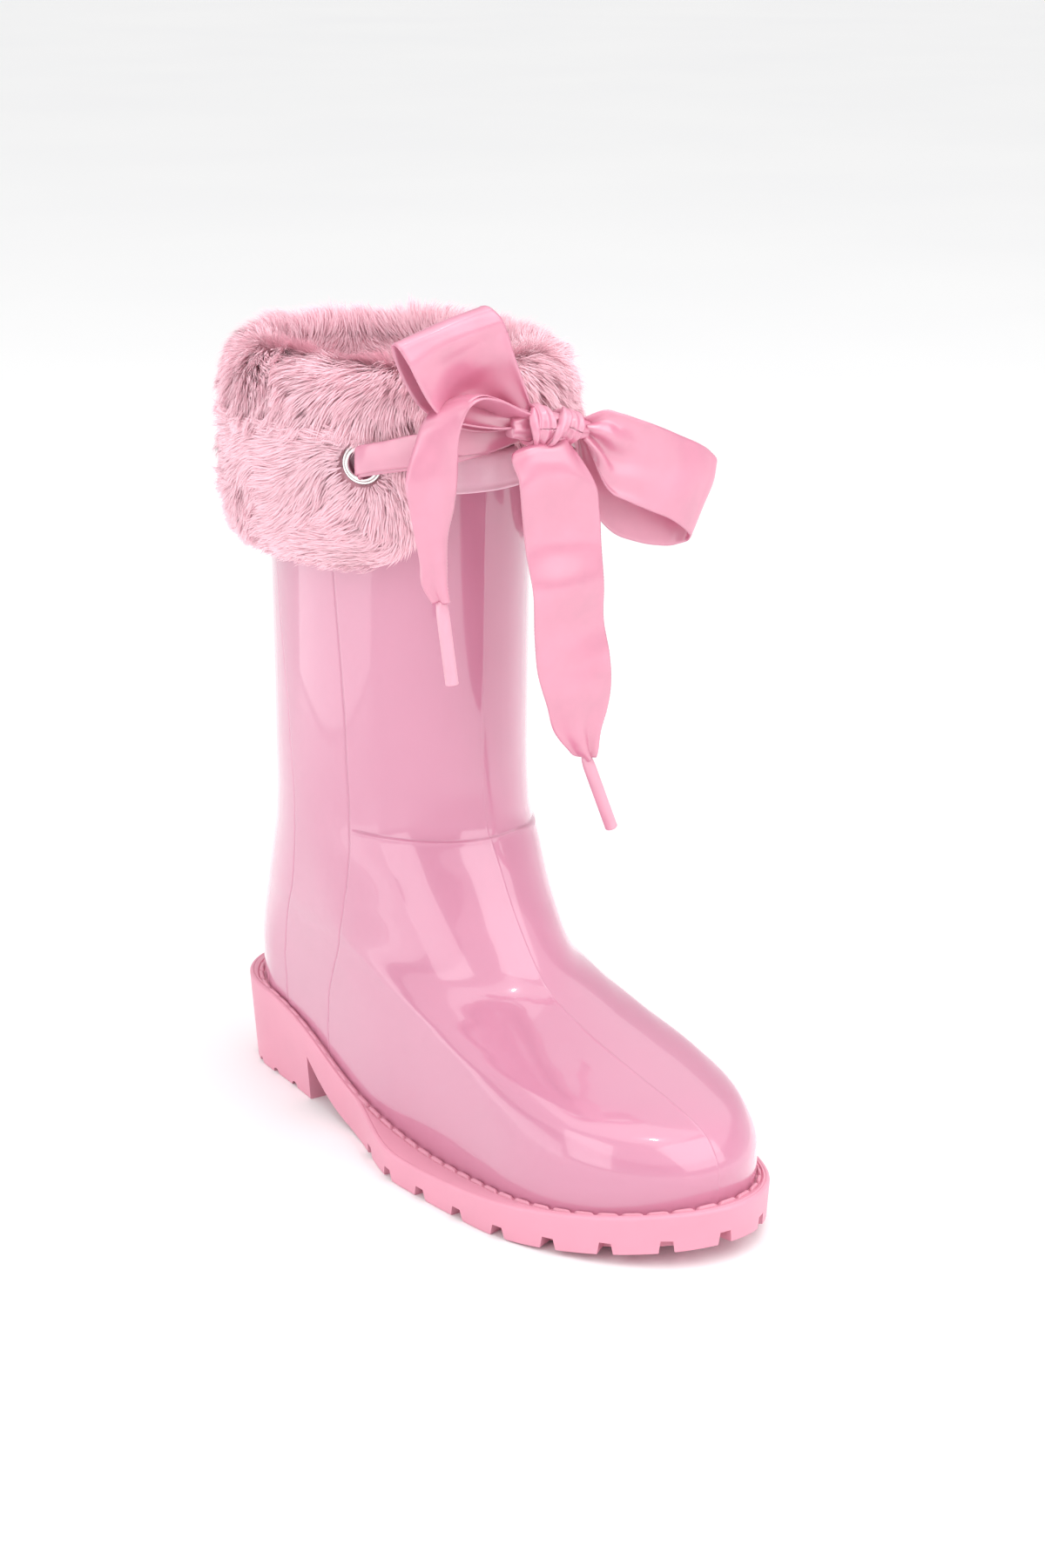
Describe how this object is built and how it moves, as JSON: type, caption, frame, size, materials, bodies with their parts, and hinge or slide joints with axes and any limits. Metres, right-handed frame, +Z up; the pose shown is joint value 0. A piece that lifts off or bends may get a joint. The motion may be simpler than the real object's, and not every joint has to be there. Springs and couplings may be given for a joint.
{
  "type": "rain boot",
  "caption": "Child's glossy moulded rain boot with a turned-down fur cuff, eyelets, a satin ribbon bow with tipped ends, and a lugged sole with a low block heel.",
  "frame": {"origin": "on the ground under the middle of the heel, at the centre of the heel's rest face", "axes": "+Z up, -Y towards the toe, +X to the wearer's left, which is the inner side of this right boot"},
  "size_m": [0.1055, 0.2051, 0.2329],
  "materials": {
    "boot_pvc": "high gloss moulded PVC",
    "sole_pvc": "matte moulded PVC",
    "lining_fabric": "plain knitted lining",
    "footbed_fabric": "brushed textile over foam",
    "satin_binding": "dull satin, folded over the edge",
    "faux_fur": "short dense pile",
    "satin_ribbon": "double-face satin",
    "nickel": "polished nickel plate",
    "aglet_wrap": "satin wrapped and sealed"
  },
  "bodies": {
    "boot": {"outsole": "sole_pvc", "upper_shell": "boot_pvc", "lining_sock": "lining_fabric", "footbed": "footbed_fabric", "top_binding": "satin_binding", "fur_cuff": "faux_fur", "cuff_lining": "lining_fabric", "ribbon_back_run": "satin_ribbon", "ribbon_run_right": "satin_ribbon", "ribbon_run_left": "satin_ribbon", "eyelet_right": "nickel", "eyelet_left": "nickel", "eyelet_washer_right": "nickel", "eyelet_washer_left": "nickel", "bow_knot": "satin_ribbon"},
    "loop_right": {"bow_loop_right": "satin_ribbon"},
    "loop_left": {"bow_loop_left": "satin_ribbon"},
    "tail_right": {"bow_tail_right": "satin_ribbon"},
    "tail_left": {"bow_tail_left": "satin_ribbon"},
    "tip_right": {"aglet_right": "aglet_wrap"},
    "tip_left": {"aglet_left": "aglet_wrap"}
  },
  "joints": [
    {"name": "loop_right_tilt", "type": "hinge", "parent": "boot", "child": "loop_right", "pos_m": [-0.002, -0.0954, 0.205], "axis": [0, 1, 0], "range_deg": [-10, 10], "stiffness_Nm_per_rad": 0.02},
    {"name": "loop_left_tilt", "type": "hinge", "parent": "boot", "child": "loop_left", "pos_m": [0.0135, -0.0988, 0.2], "axis": [0, 1, 0], "range_deg": [-12, 12], "stiffness_Nm_per_rad": 0.02},
    {"name": "tail_right_swing", "type": "hinge", "parent": "boot", "child": "tail_right", "pos_m": [-0.0295, -0.0995, 0.2005], "axis": [-0.9536, -0.3011, 0], "range_deg": [0, 50]},
    {"name": "tail_left_swing", "type": "hinge", "parent": "boot", "child": "tail_left", "pos_m": [0.0055, -0.1028, 0.1948], "axis": [-1, 0, 0], "range_deg": [0, 60]},
    {"name": "tip_right_swing", "type": "hinge", "parent": "tail_right", "child": "tip_right", "pos_m": [-0.0297, -0.098, 0.1602], "axis": [-1, 0, 0], "range_deg": [-15, 30]},
    {"name": "tip_left_swing", "type": "hinge", "parent": "tail_left", "child": "tip_left", "pos_m": [0.0166, -0.0966, 0.1116], "axis": [-1, 0, 0], "range_deg": [-15, 30]}
  ]
}
